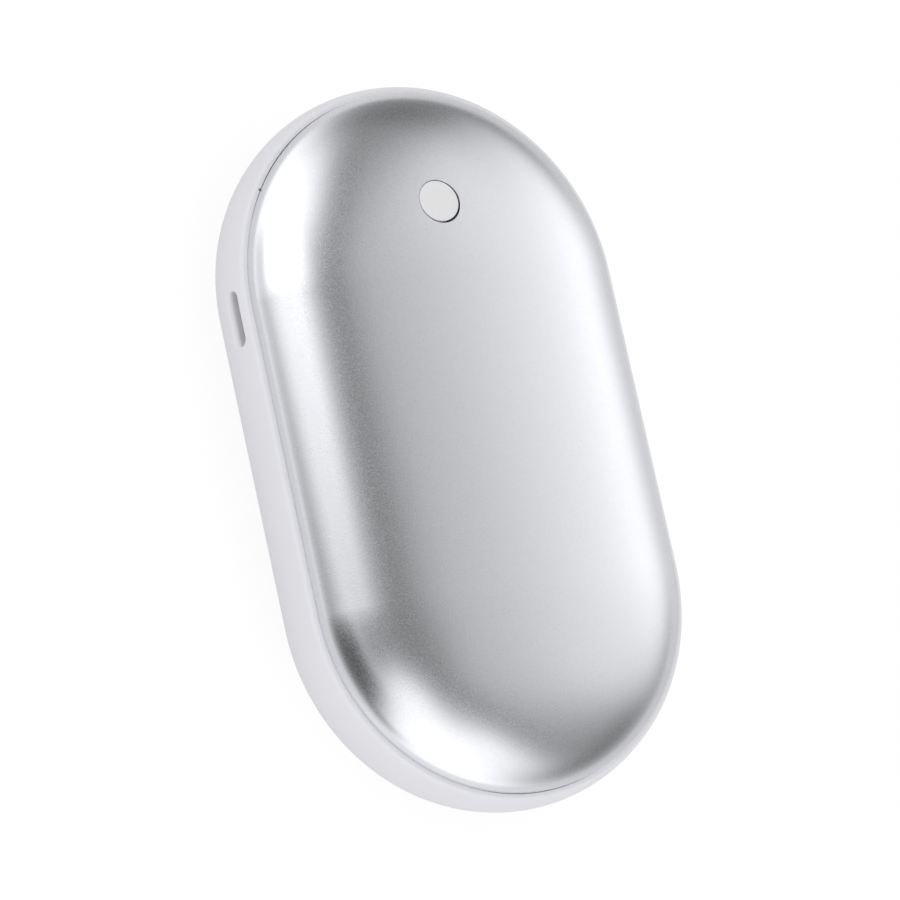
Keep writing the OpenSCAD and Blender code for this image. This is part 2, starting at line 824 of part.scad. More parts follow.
module contact_strips() {
    tip_x = mouth_x + tongue_back + contact_w;
    back_x = port_back_x + contact_t;
    top = tongue_z - tongue_t / 2;
    under = top - contact_t;
    for (i = [0 : contact_count - 1])
        translate([0, port_y + (i - (contact_count - 1) / 2) * contact_pitch - contact_w / 2, 0]) {
            block([tip_x, 0, under], [back_x + contact_t, contact_w, top]);
            block([back_x, 0, board_top_z], [back_x + contact_t, contact_w, top]);
            block([back_x, 0, board_top_z], [back_x + contact_foot, contact_w, board_top_z + contact_t]);
        }
}

module usb_shell() {
    color("#b9bcc0")
        difference() {
            across_port(mouth_x, port_back_x) port_outline(0);
            across_port(mouth_x - over, port_back_x - port_t) port_outline(port_t);
            contact_strips();
        }
}

module usb_insulator() {
    block_x = port_back_x - port_t - block_l;
    color("#151515")
        difference() {
            union() {
                across_port(block_x, port_back_x - port_t) port_outline(port_t);
                block(
                    [mouth_x + tongue_back, port_y - tongue_w / 2, tongue_z - tongue_t / 2],
                    [block_x + block_l / 2, port_y + tongue_w / 2, tongue_z + tongue_t / 2]
                );
            }
            contact_strips();
        }
}

module usb_contacts() {
    color("#d4ac4e") contact_strips();
}

// A chip on the board: body and a row of pins along each long side
module chip(size, pins) {
    standoff = 0.1;
    pin_pitch = 1.27;
    pin_w = 0.42;
    pin_t = 0.2;
    pin_out = 1;
    pin_top = 0.8;
    translate([-size[0] / 2, -size[1] / 2, standoff]) cube([size[0], size[1], chip_h]);
    for (sy = [0, 1], i = [0 : pins - 1])
        mirror([0, sy, 0])
            translate([(i - (pins - 1) / 2) * pin_pitch - pin_w / 2, size[1] / 2, 0]) {
                cube([pin_w, pin_out, pin_t]);
                cube([pin_w, pin_t, pin_top]);
            }
}

// A small part lying on a board, centred on its place
module small_part(size) {
    translate([-size[0] / 2, -size[1] / 2, 0]) cube(size);
}

module charger_chip() {
    color("#232325")
        translate([charger_x, chip_y, board_top_z]) chip(charger_size, 4);
}

module controller_chip() {
    color("#232325")
        translate([controller_x, chip_y, board_top_z]) chip(controller_size, 7);
}

module heater_transistors() {
    color("#232325")
        for (i = [0, 1])
            translate([transistor_x + i * transistor_pitch, chip_y, board_top_z])
                small_part(transistor_size);
}

module status_leds() {
    color("#f3efd8")
        for (sx = [-1, 1])
            translate([sx * led_x, button_y, board_top_z]) small_part(led_size);
}

module capacitors() {
    color("#a98a63")
        for (p = capacitor_places)
            translate([p[0], p[1], board_top_z]) small_part(capacitor_size);
}

module resistors() {
    color("#1d1f24")
        for (p = resistor_places)
            translate([p[0], p[1], board_top_z]) small_part(resistor_size);
}

// A solder joint under a lead of diameter d, narrowing away from its pad
module solder(d) {
    cylinder(r1 = solder_r(d), r2 = (d + solder_spread) / 2, h = solder_h);
}

module solder_joints() {
    color("#bfc3c6") {
        for (sx = [-1, 1]) {
            translate([sx * pad_x, board_pad_y, board_top_z]) solder(heater_lead_d);
            translate([sx * pad_x, board_pad_y, web_top_z]) mirror([0, 0, 1]) solder(heater_lead_d);
            translate([sx * pad_x, film_pad_y, front_pad_z - solder_drop])
                mirror([0, 0, 1]) solder(heater_lead_d);
            translate([sx * pad_x, film_pad_y, back_pad_z]) solder(heater_lead_d);
            translate([sx * battery_pad_x, board_pad_y, board_top_z]) solder(battery_lead_d);
            translate([sx * battery_pad_x, strip_pad_y, mid_z + strip_board_t]) solder(battery_lead_d);
            translate([sensor_x + sx * sensor_pad_x, sensor_pad_y, web_top_z])
                mirror([0, 0, 1]) solder(sensor_lead_d);
        }
    }
}

module battery_cell() {
    color("#9fa4aa")
        along_body(cell_y0, cell_y1) translate([0, mid_z]) rounded_rect(cell_w, cell_t, cell_r);
}

module cell_tabs() {
    color("#c2c4c0")
        for (sx = [-1, 1])
            translate([sx * tab_strip_x - tab_strip_w / 2, cell_y1, mid_z - tab_strip_t])
                cube([tab_strip_w, strip_gap + tab_strip_grip, tab_strip_t]);
}

module cell_tape() {
    color("#c98a2b")
        for (y = [cell_y0 + tape_inset, cell_y1 - tape_inset - tape_w])
            along_body(y, y + tape_w)
                translate([0, mid_z])
                    difference() {
                        rounded_rect(cell_w + 2 * tape_t, cell_t + 2 * tape_t, cell_r + tape_t);
                        rounded_rect(cell_w, cell_t, cell_r);
                    }
}

module protection_board() {
    color("#1f6b3f")
        translate([-strip_board_l / 2, strip_y0, mid_z])
            cube([strip_board_l, strip_y1 - strip_y0, strip_board_t]);
}

module protection_chips() {
    color("#232325")
        for (sx = [-1, 1])
            translate([sx * strip_chip_x, strip_pad_y, mid_z + strip_board_t]) small_part(strip_chip_size);
}

// A battery lead arches from the protection board over to the main board
module battery_lead(x) {
    low = mid_z + strip_board_t + solder_h;
    high = board_top_z + solder_h;
    wire([
        [x, strip_pad_y, low], [x, strip_pad_y, low + arch_h],
        [x, board_pad_y, high + arch_h], [x, board_pad_y, high]
    ], battery_lead_d);
}

module battery_lead_red() {
    color("#b3201f") battery_lead(-battery_pad_x);
}

module battery_lead_black() {
    color("#202020") battery_lead(battery_pad_x);
}

module foam_pad(z) {
    translate([-foam_w / 2, foam_y0, z]) cube([foam_w, foam_l, foam_t]);
}

module front_foam() {
    color("#55585c") foam_pad(cell_top_z);
}

module back_foam() {
    color("#55585c") foam_pad(cell_bottom_z - foam_t);
}

// A thin layer under a shell's straight part, from inset to inset + t below its outer face
module film_section(h, land, inset, t) {
    xs = [for (i = [0 : film_steps]) film_w * (i / film_steps - 0.5)];
    outer = [for (x = xs) [x, across(x, shell_r - inset, h - inset, land)]];
    inner = [for (x = xs) [x, across(x, shell_r - inset - t, h - inset - t, land)]];
    polygon(concat(outer, reversed(inner)));
}

module heater_film(h, land) {
    along_body(-film_half_l, film_half_l) film_section(h, land, film_inset, film_t);
}

// The track's plan: runs along the body, joined in turn, with a bus to each middle pad
module track_plan() {
    link_w = track_pitch + track_w;
    for (i = [0 : track_runs - 1]) {
        outermost = i == 0 || i == track_runs - 1;
        x = track_x0 + i * track_pitch;
        top = outermost ? track_y1 : track_y1 - bus_step;
        translate([x, track_y0]) square([track_w, top - track_y0]);
        if (i < track_runs - 1)
            translate([x, i % 2 == 0 ? track_y0 : track_y1 - bus_step - track_w]) square([link_w, track_w]);
    }
    for (x = [track_x0, bus_end])
        translate([x, track_y1 - track_w]) square([-track_x0 - bus_end, track_w]);
}

module heater_track(h, land) {
    intersection() {
        along_body(-film_half_l, film_half_l) film_section(h, land, track_inset, track_t);
        linear_extrude(h) track_plan();
    }
}

module front_heater() {
    color("#b8742a")
        on_front() heater_film(front_dome_h, 0);
}

module back_heater() {
    color("#b8742a")
        on_back() heater_film(back_dome_h, land_r);
}

module front_heater_track() {
    color("#8e8f86")
        on_front() heater_track(front_dome_h, 0);
}

module back_heater_track() {
    color("#8e8f86")
        on_back() heater_track(back_dome_h, land_r);
}

module front_heater_leads() {
    high = front_pad_z - solder_drop - solder_h;
    low = board_top_z + solder_h;
    color("#d8d8d2")
        for (sx = [-1, 1])
            wire([
                [sx * pad_x, film_pad_y, high], [sx * pad_x, film_pad_y, high - lead_slack],
                [sx * pad_x, board_pad_y, low + lead_slack], [sx * pad_x, board_pad_y, low]
            ], heater_lead_d);
}

module back_heater_leads() {
    low = back_pad_z + solder_h;
    high = web_top_z - solder_h;
    color("#d8d8d2")
        for (sx = [-1, 1])
            wire([
                [sx * pad_x, film_pad_y, low], [sx * pad_x, film_pad_y, low + lead_slack],
                [sx * pad_x, board_pad_y, high - lead_slack], [sx * pad_x, board_pad_y, high]
            ], heater_lead_d);
}

module thermistor() {
    color("#6d2f1d")
        translate([sensor_x, sensor_y0, sensor_z])
            rotate([-90, 0, 0]) cylinder(d = sensor_d, h = sensor_l);
}

module thermistor_leads() {
    start_y = sensor_y0 + sensor_l;
    end_z = web_top_z - solder_h;
    color("#8a8d90")
        for (sx = [-1, 1])
            wire([
                [sensor_x + sx * sensor_lead_x, start_y, sensor_z],
                [sensor_x + sx * sensor_lead_x, sensor_pad_y, sensor_z],
                [sensor_x + sx * sensor_pad_x, sensor_pad_y, sensor_z + lead_slack],
                [sensor_x + sx * sensor_pad_x, sensor_pad_y, end_z]
            ], sensor_lead_d);
}

// A pan-head screw standing on its head's underside at the origin, shank up
module screw(d, l, r, h) {
    difference() {
        union() {
            cylinder(d = d, h = l);
            translate([0, 0, -h]) cylinder(r = r, h = h);
        }
        for (turn = [0, 90])
            rotate([0, 0, turn])
                translate([-r / 2, -recess_w / 2, -h - over]) cube([r, recess_w, recess_depth + over]);
    }
}

module frame_screws() {
    color("#8d9094")
        for (p = frame_screw_places)
            translate([p[0], p[1], seat_z]) screw(frame_screw_d, frame_screw_l, head_r, head_h);
}

module board_screws() {
    color("#8d9094")
        for (p = board_screw_places)
            translate([p[0], p[1], board_top_z])
                rotate([180, 0, 0]) screw(board_screw_d, board_screw_l, board_head_r, board_head_h);
}

front_shell();
back_shell();
mid_frame();
front_liner();
back_liner();
front_glue();
back_glue();
button_cap();
switch_plunger();
switch_dome();
switch_body();
switch_cover();
switch_legs();
main_pcb();
usb_shell();
usb_insulator();
usb_contacts();
charger_chip();
controller_chip();
heater_transistors();
status_leds();
capacitors();
resistors();
solder_joints();
battery_cell();
cell_tabs();
cell_tape();
protection_board();
protection_chips();
battery_lead_red();
battery_lead_black();
front_foam();
back_foam();
front_heater();
back_heater();
front_heater_track();
back_heater_track();
front_heater_leads();
back_heater_leads();
thermistor();
thermistor_leads();
frame_screws();
board_screws();
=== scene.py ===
import math

import bmesh
import bpy
from mathutils import Matrix, Vector
from mathutils.geometry import delaunay_2d_cdt


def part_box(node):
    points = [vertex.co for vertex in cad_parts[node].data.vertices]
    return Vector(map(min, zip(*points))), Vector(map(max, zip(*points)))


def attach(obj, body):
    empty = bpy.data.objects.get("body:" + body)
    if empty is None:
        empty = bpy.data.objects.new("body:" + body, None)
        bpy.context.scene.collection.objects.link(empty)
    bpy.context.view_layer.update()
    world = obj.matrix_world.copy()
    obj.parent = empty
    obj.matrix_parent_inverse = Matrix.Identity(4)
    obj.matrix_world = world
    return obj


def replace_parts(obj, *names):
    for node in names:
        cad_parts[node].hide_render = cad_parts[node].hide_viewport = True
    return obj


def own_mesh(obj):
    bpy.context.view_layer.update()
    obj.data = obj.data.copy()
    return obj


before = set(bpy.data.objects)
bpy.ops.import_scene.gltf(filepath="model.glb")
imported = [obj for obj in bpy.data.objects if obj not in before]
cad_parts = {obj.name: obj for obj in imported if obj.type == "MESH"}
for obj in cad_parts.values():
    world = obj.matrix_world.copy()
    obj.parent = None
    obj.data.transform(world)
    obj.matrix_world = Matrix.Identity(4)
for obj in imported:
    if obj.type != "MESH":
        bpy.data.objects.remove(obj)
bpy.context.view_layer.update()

MM = 0.001

# The part's sizes in millimetres, as its source has them
BODY_W, BODY_L = 58.0, 100.0
DOME_H, LAND_W = 7.2, 18.0
BELT_H, BELT_SWELL, SHOULDER_R, BELT_LEDGE = 8.4, 0.65, 0.7, 1.05
RIM_DEPTH, RIM_SEAT, SHELL_T = 0.4, 0.9, 0.8
BUTTON_D, BUTTON_FROM_END = 5.8, 18.9
STEM_D, FLANGE_W, FLANGE_T = 2.8, 0.9, 0.8
PORT_FROM_END, PORT_DROP, SLOT_L, SLOT_H = 30.1, 2.3, 7.5, 2.1
PORT_CLEAR = 0.2
SNAP_T = 0.1

# Radius of the smallest ring round a pole, which a fan of triangles closes
POLE_R = 0.1

# How finely the meshes are made: stations round each end and along each side, then steps round the hole and
# the button, round the snap dome and up it, over the belt's side, and round a wide, a small and a tiny edge
END_STEPS, SIDE_STEPS = 96, 42
HOLE_STEPS, SNAP_STEPS, SNAP_ROWS, BELT_STEPS = 144, 96, 12, 20
WIDE_EDGE, SMALL_EDGE, TINY_EDGE = 8, 6, 3

# A dome is a mesh of triangles within FACE_R of the centre line, less a clear edge, and has loops beyond it.
# Then its loops and the side of a triangle, outside and inside, and the height of a row of triangles as a
# share of that side
FACE_R, EDGE_CLEAR = 19.0, 0.6
OUTER_MESH, INNER_MESH = (44, 1.1), (14, 2.2)
TRIANGLE_ROW = 0.866

# Rings of points that stand off the button's hole, and the distance from it that other points keep
HOLE_RINGS, HOLE_RING_STEPS, HOLE_CLEAR = (0.15, 0.4, 0.85), 96, 1.4

# The same round the slot in the belt, with the side of a triangle there and the clear edge of its window
SLOT_RINGS, SLOT_CLEAR, SLOT_MESH, WINDOW_CLEAR = (0.12, 0.3), 0.5, 0.55, 0.2

# Radii of the rings that the button's crown has within its rounded edge
CROWN_RINGS = (POLE_R, 0.7, 1.4, 2.1, 2.6)

STRAIGHT = (BODY_L - BODY_W) / 2
END_R = BODY_W / 2
SHELL_R = END_R - BELT_SWELL - BELT_LEDGE
SEAT_R = SHELL_R - RIM_SEAT
HALF_BELT = BELT_H / 2
BACK_SEAM_Z = DOME_H
FRONT_SEAM_Z = BACK_SEAM_Z + BELT_H
MID_Z = BACK_SEAM_Z + HALF_BELT
BUTTON_Y = BODY_L / 2 - BUTTON_FROM_END
CAP_R = BUTTON_D / 2
PORT_Y = BODY_L / 2 - PORT_FROM_END
PORT_Z = FRONT_SEAM_Z - PORT_DROP
SLOT_REACH = (SLOT_L - SLOT_H) / 2
POCKET_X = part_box("usb_shell")[0][0] / MM - PORT_CLEAR

# The belt's side: an arc that leans by LEAN at its shoulders
FLANK = HALF_BELT - SHOULDER_R
LEAN = 2 * math.atan(BELT_SWELL / FLANK)
for _ in range(2):
    LEAN = 2 * math.atan(BELT_SWELL / (FLANK + SHOULDER_R * math.sin(LEAN)))
SIDE_R = BELT_SWELL / (1 - math.cos(LEAN))
CORNER_R = END_R - BELT_SWELL - SHOULDER_R * math.cos(LEAN)

# How near to a surface a face counts as on it
NEAR = 0.01

# Edge radii that only the looks have. The slot's grows from its top to its bottom
HOLE_EDGE, LIP_EDGE, CAP_EDGE = 0.05, 0.008, 0.1
SLOT_EDGE, SLOT_EDGE_BELOW = 0.04, 0.8

# The button sits close in its hole, and the punched hole is a little to one side of it
HOLE_SHOWN, CAP_SHOWN = 3.06, 2.89
HOLE_X, HOLE_Y = 0.07, BUTTON_Y - 0.09

# The seam as it shows: nearly closed, and a hair wider round the places given by azimuth, half width and
# width. The last of them is a nick in the belt's lip
SEAM_SHOWN = 0.003
SEAM_WIDER = ((130, 30, 0.085), (-92, 26, 0.06), (145.6, 0.55, 0.3))


# ---- Meshes with exact normals ----

class Skin:
    """Collects points in millimetres with their normals, and the faces between them."""

    def __init__(self):
        self.points, self.normals, self.faces = [], [], []

    def add(self, point, normal):
        self.points.append(Vector(point))
        self.normals.append(Vector(normal).normalized())
        return len(self.points) - 1

    def face(self, *corners):
        """A face, turned to look the way its corners' normals do."""
        p = [self.points[i] for i in corners]
        across = (p[2] - p[0]).cross(p[3] - p[1]) if len(p) == 4 else (p[1] - p[0]).cross(p[2] - p[0])
        facing = sum((self.normals[i] for i in corners), Vector())
        self.faces.append(corners if across.dot(facing) >= 0 else tuple(reversed(corners)))

    def strip(self, row, other):
        for i in range(len(row)):
            j = (i + 1) % len(row)
            self.face(row[i], row[j], other[j], other[i])

    def rows(self, rows):
        for a, b in zip(rows, rows[1:]):
            self.strip(a, b)

    def cap(self, row):
        """Closes a small ring with triangles round its middle."""
        middle = sum((self.points[i] for i in row), Vector()) / len(row)
        centre = self.add(middle, sum((self.normals[i] for i in row), Vector()))
        for i in range(len(row)):
            self.face(centre, row[i], row[(i + 1) % len(row)])

    def piece(self, name, slot, body, *nodes):
        mesh = bpy.data.meshes.new(name)
        mesh.from_pydata([p * MM for p in self.points], [], self.faces)
        mesh.shade_smooth()
        mesh.normals_split_custom_set_from_vertices([tuple(n) for n in self.normals])
        return settle(bpy.data.objects.new(name, mesh), slot, body, *nodes)


def settle(obj, slot, body, *nodes):
    """Puts a piece on its body, in the finish of its slot, for the CAD nodes that it stands for."""
    bpy.context.scene.collection.objects.link(obj)
    obj.data.materials.clear()
    obj.data.materials.append(bpy.data.materials[slot])
    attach(obj, body)
    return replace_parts(obj, *nodes)


def plan_stations():
    """Stations round the body, counterclockwise from +X: centre x and y, outward x and y."""
    out = []
    for sign, start in ((1, 0.0), (-1, 180.0)):
        turns = {start + 180 * i / END_STEPS for i in range(END_STEPS + 1)}
        for middle, half, _ in SEAM_WIDER:
            if start < middle < start + 180 and half < 1:
                turns.update(middle + half * k / 2 for k in range(-2, 3))
        for a in map(math.radians, sorted(turns)):
            out.append((0.0, sign * STRAIGHT, math.cos(a), math.sin(a)))
        for i in range(1, SIDE_STEPS):
            out.append((0.0, sign * STRAIGHT * (1 - 2 * i / SIDE_STEPS), -float(sign), 0.0))
    return out


STATIONS = plan_stations()


def around(skin, rho, z, out, up):
    """A loop of points round the body at rho, which may be one for each station, with a normal out and up."""
    rhos = rho if isinstance(rho, list) else [rho] * len(STATIONS)
    return [
        skin.add((cx + nx * r, cy + ny * r, z), (nx * out, ny * out, up))
        for (cx, cy, nx, ny), r in zip(STATIONS, rhos)
    ]


def circle(x, y, r, count):
    turns = [2 * math.pi * i / count for i in range(count)]
    return [(x + r * math.cos(a), y + r * math.sin(a)) for a in turns]


def off_hole(x, y):
    """Distance from the middle of the button's hole."""
    return math.hypot(x - HOLE_X, y - HOLE_Y)


def mesh_grid(x0, x1, y0, y1, step):
    """Points of a triangular grid between two corners."""
    points = []
    for j in range(int((y1 - y0) / (step * TRIANGLE_ROW)) + 1):
        for i in range(int((x1 - x0) / step) + 1):
            points.append((x0 + (i + 0.5 * (j % 2)) * step, y0 + j * step * TRIANGLE_ROW))
    return [p for p in points if p[0] <= x1]


def fill(skin, loops, extra, place, keep):
    """Triangles over a flat region within its loops, each point lifted onto the surface by place()."""
    flat, edges, known = [], [], {}
    for loop, indices in loops:
        start, count = len(flat), len(loop)
        flat += [Vector(p) for p in loop]
        edges += [(start + k, start + (k + 1) % count) for k in range(count)]
        known.update((start + k, index) for k, index in enumerate(indices))
    flat += [Vector(p) for p in extra]
    verts, _, faces, origin, _, _ = delaunay_2d_cdt(flat, edges, [], 0, 1e-7, True)
    made = {}
    for f in faces:
        middle = sum((verts[i] for i in f), Vector((0, 0))) / len(f)
        if not keep(middle[0], middle[1]):
            continue
        for i in f:
            if i not in made:
                source = [k for k in origin[i] if k in known]
                made[i] = known[source[0]] if source else skin.add(*place(verts[i][0], verts[i][1]))
        skin.face(*[made[i] for i in f])


# ---- The shells ----

class Dome:
    """An elliptical dome over a flat land, on its seam. side is 1 for the front and -1 for the back."""

    def __init__(self, side, land, inset, facing):
        self.seam_z = FRONT_SEAM_Z if side > 0 else BACK_SEAM_Z
        self.side, self.land, self.facing = side, land, facing
        self.wide, self.high = SHELL_R - inset - land, DOME_H - inset

    def section(self, rho):
        """Height, and how far the normal leans out and up, at the distance rho."""
        sine = min(max((rho - self.land) / self.wide, 0.0), 1.0)
        cosine = math.sqrt(1 - sine * sine)
        out, up = sine / self.wide * self.facing, cosine / self.high * self.facing * self.side
        return self.seam_z + self.side * self.high * cosine, out, up

    def over(self, x, y):
        """The point and normal at the plan point x, y."""
        beyond = max(abs(y) - STRAIGHT, 0.0)
        rho = math.hypot(x, beyond)
        z, out, up = self.section(rho)
        across, along = (x / rho, math.copysign(beyond, y) / rho) if rho > 1e-9 else (0.0, 0.0)
        return (x, y, z), (across * out, along * out, up)

    def build(self, skin, steps, step, hole_r):
        """The dome's surface. Returns its loop at the seam and its loop round the button's hole."""
        start = math.asin((FACE_R - self.land) / self.wide)
        rings = []
        for i in range(steps + 1):
            rho = self.land + self.wide * math.sin(start + (math.pi / 2 - start) * i / steps)
            rings.append(around(skin, rho, *self.section(rho)))
        skin.rows(rings)
        bound = [(skin.points[i][0], skin.points[i][1]) for i in rings[0]]
        loops = [(bound, rings[0])]
        extra = [
            p for p in mesh_grid(-FACE_R, FACE_R, -FACE_R - STRAIGHT, FACE_R + STRAIGHT, step)
            if math.hypot(p[0], max(abs(p[1]) - STRAIGHT, 0)) < FACE_R - EDGE_CLEAR
        ]
        edge = []
        if hole_r:
            rim = circle(HOLE_X, HOLE_Y, hole_r, HOLE_STEPS)
            edge = [skin.add(*self.over(*p)) for p in rim]
            loops.append((rim, edge))
            extra = [p for p in extra if off_hole(*p) > hole_r + HOLE_CLEAR]
            for apart in HOLE_RINGS:
                extra += circle(HOLE_X, HOLE_Y, hole_r + apart, HOLE_RING_STEPS)
        fill(skin, loops, extra, self.over, lambda x, y: off_hole(x, y) > hole_r)
        return rings[-1], edge


def shell(name, side, land, hole, node):
    """A pressed shell: the outer dome, the rim that sits in the belt, and the inner face."""
    skin = Skin()
    outer, inner = Dome(side, land, 0, 1), Dome(side, land, SHELL_T, -1)
    outer_edge, hole_edge = outer.build(skin, *OUTER_MESH, HOLE_SHOWN + HOLE_EDGE if hole else 0)
    inner_edge, hole_foot = inner.build(skin, *INNER_MESH, HOLE_SHOWN if hole else 0)
    seam_z = FRONT_SEAM_Z if side > 0 else BACK_SEAM_Z
    foot_z = seam_z - side * RIM_DEPTH
    skin.strip(outer_edge, around(skin, SHELL_R, foot_z, 1, 0))
    skin.strip(inner_edge, around(skin, SHELL_R - SHELL_T, foot_z, -1, 0))
    skin.strip(
        around(skin, SHELL_R, foot_z, 0, -side), around(skin, SHELL_R - SHELL_T, foot_z, 0, -side)
    )
    if hole:
        # A small rounded edge leads from the dome into the hole's wall
        rows = [hole_edge]
        for k in range(1, SMALL_EDGE + 1):
            turn = math.pi / 2 * k / SMALL_EDGE
            r = HOLE_SHOWN + HOLE_EDGE * (1 - math.sin(turn))
            row = []
            for i in hole_edge:
                x, y, z = skin.points[i]
                away = Vector((x - HOLE_X, y - HOLE_Y, 0)).normalized()
                point = away * r + Vector((HOLE_X, HOLE_Y, z - HOLE_EDGE * (1 - math.cos(turn))))
                row.append(skin.add(point, -away * math.sin(turn) + Vector((0, 0, math.cos(turn)))))
            rows.append(row)
        rows.append([skin.add(skin.points[i], skin.normals[j]) for i, j in zip(hole_foot, rows[-1])])
        skin.rows(rows)
    return skin.piece(name, "blasted_aluminium", "housing", node)


# ---- The belt ----

def side_rho(z):
    """Distance of the belt's side from the body's centre line at the height z."""
    return END_R - SIDE_R + math.sqrt(SIDE_R ** 2 - (z - MID_Z) ** 2)


def on_left(s, z):
    """Point and normal on the belt's left side: s is y along the straight, and then the way round."""
    rho, up = side_rho(z), (z - MID_Z) / SIDE_R
    out = math.sqrt(1 - up * up)
    if s <= STRAIGHT:
        return (-rho, s, z), (-out, 0, up)
    turn = (s - STRAIGHT) / END_R
    c, d = math.cos(turn), math.sin(turn)
    return (-rho * c, STRAIGHT + rho * d, z), (-out * c, out * d, up)


def left_s(y, z):
    return y if y <= STRAIGHT else STRAIGHT + END_R * math.asin((y - STRAIGHT) / side_rho(z))


def slot_edge(up):
    """Radius of the slot's edge where its outward direction rises by up."""
    return SLOT_EDGE + (SLOT_EDGE_BELOW - SLOT_EDGE) * (1 - up) ** 2 / 4


def slot_outline(share, grow=0.0, arc_steps=20, line_steps=18):
    """The slot's outline in y and z, out by a share of its edge radius, with its outward directions."""
    out = []
    for sign in (1, -1):
        for i in range(arc_steps + 1):
            a = math.pi * i / arc_steps - math.pi / 2 + (0 if sign > 0 else math.pi)
            c, d = math.cos(a), math.sin(a)
            r = SLOT_H / 2 + grow + share * slot_edge(d)
            out.append((PORT_Y + sign * SLOT_REACH + r * c, PORT_Z + r * d, c, d))
        for i in range(1, line_steps):
            y = PORT_Y + sign * SLOT_REACH * (1 - 2 * i / line_steps)
            r = SLOT_H / 2 + grow + share * slot_edge(sign)
            out.append((y, PORT_Z + sign * r, 0.0, float(sign)))
    return out


def off_slot(y, z, share=1.0):
    """How far a point on the belt's side is outside the slot and a share of its rounded edge."""
    up = z - PORT_Z
    apart = math.hypot(max(abs(y - PORT_Y) - SLOT_REACH, 0), up)
    return apart - SLOT_H / 2 - share * slot_edge(up / max(apart, 1e-9))


def lip_rho(nx, ny):
    """Distance of the seam's lip in the direction nx, ny."""
    azimuth, gap = math.degrees(math.atan2(ny, nx)), SEAM_SHOWN
    for middle, half, more in SEAM_WIDER:
        apart = abs((azimuth - middle + 180) % 360 - 180)
        gap += more * (1 + math.cos(math.pi * min(apart / half, 1))) / 2
    return SHELL_R + gap


def belt_edge(skin, side):
    """One edge of the belt: the rebate's floor, its lip and the shoulder. Returns its last loop."""
    floor_z = MID_Z + side * (HALF_BELT - RIM_DEPTH)
    lip_r = [lip_rho(nx, ny) for _, _, nx, ny in STATIONS]
    skin.strip(around(skin, SEAT_R, floor_z, 0, side), around(skin, lip_r, floor_z, 0, side))
    lip = [around(skin, lip_r, floor_z, -1, 0)]
    for k in range(TINY_EDGE + 1):
        a = math.pi / 2 * k / TINY_EDGE
        rho = [r + LIP_EDGE * (1 - math.cos(a)) for r in lip_r]
        z = HALF_BELT - LIP_EDGE * (1 - math.sin(a))
        lip.append(around(skin, rho, MID_Z + side * z, -math.cos(a), side * math.sin(a)))
    for k in range(WIDE_EDGE + 1):
        a = math.pi / 2 + (LEAN - math.pi / 2) * k / WIDE_EDGE
        rho, z = CORNER_R + SHOULDER_R * math.cos(a), FLANK + SHOULDER_R * math.sin(a)
        lip.append(around(skin, rho, MID_Z + side * z, math.cos(a), side * math.sin(a)))
    skin.rows(lip)
    return lip[-1]


def belt():
    """The belt's skin, with its seams, rounded shoulders, swelling side and charging slot."""
    skin = Skin()
    rows = [belt_edge(skin, 1)]
    for k in range(1, BELT_STEPS):
        a = LEAN * (1 - 2 * k / BELT_STEPS)
        rho, z = END_R - SIDE_R + SIDE_R * math.cos(a), MID_Z + SIDE_R * math.sin(a)
        rows.append(around(skin, rho, z, math.cos(a), math.sin(a)))
    rows.append(belt_edge(skin, -1))

    # Round the slot the loops leave a window, which a finer mesh fills
    window = []
    for i, (_, cy, nx, ny) in enumerate(STATIONS):
        if nx < 0 and cy + END_R * ny > PORT_Y - SLOT_L and cy + END_R * ny < PORT_Y + SLOT_L:
            window.append(i)
    for a, b in zip(rows, rows[1:]):
        for i in range(len(STATIONS)):
            j = (i + 1) % len(STATIONS)
            if i not in window or j not in window:
                skin.face(a[i], a[j], b[j], b[i])
    rim = [rows[0][i] for i in window] + [row[window[-1]] for row in rows[1:-1]]
    rim += [rows[-1][i] for i in reversed(window)] + [row[window[0]] for row in reversed(rows[1:-1])]
    rim_flat = [(left_s(skin.points[i][1], skin.points[i][2]), skin.points[i][2]) for i in rim]
    edge_flat = [(left_s(y, z), z) for y, z, _, _ in slot_outline(1.0)]
    edge = [skin.add(*on_left(*p)) for p in edge_flat]
    across, up = zip(*rim_flat)
    s0, s1 = min(across) + 2 * WINDOW_CLEAR, max(across) - 2 * WINDOW_CLEAR
    z0, z1 = min(up) + WINDOW_CLEAR, max(up) - WINDOW_CLEAR
    extra = [p for p in mesh_grid(s0, s1, z0, z1, SLOT_MESH) if off_slot(*p) > SLOT_CLEAR]
    for grow in SLOT_RINGS:
        extra += [(left_s(y, z), z) for y, z, _, _ in slot_outline(1.0, grow) if z0 < z < z1]
    fill(skin, [(rim_flat, rim), (edge_flat, edge)], extra, on_left, lambda s, z: off_slot(s, z) > 0)

    # The slot's rounded edge and its wall, down to the pocket behind it
    tunnel = [edge]
    for k in range(1, WIDE_EDGE + 1):
        turn = math.pi / 2 * k / WIDE_EDGE
        row = []
        for y, z, c, d in slot_outline(1 - math.sin(turn)):
            (x, _, _), normal = on_left(left_s(y, z), z)
            facing = Vector(normal) * math.cos(turn) - Vector((0, c, d)) * math.sin(turn)
            row.append(skin.add((x + slot_edge(d) * (1 - math.cos(turn)), y, z), facing))
        tunnel.append(row)
    tunnel.append([skin.add((POCKET_X, *skin.points[i][1:]), skin.normals[i]) for i in tunnel[-1]])
    skin.rows(tunnel)
    return skin.piece("belt_skin", "white_belt", "housing", "mid_frame")


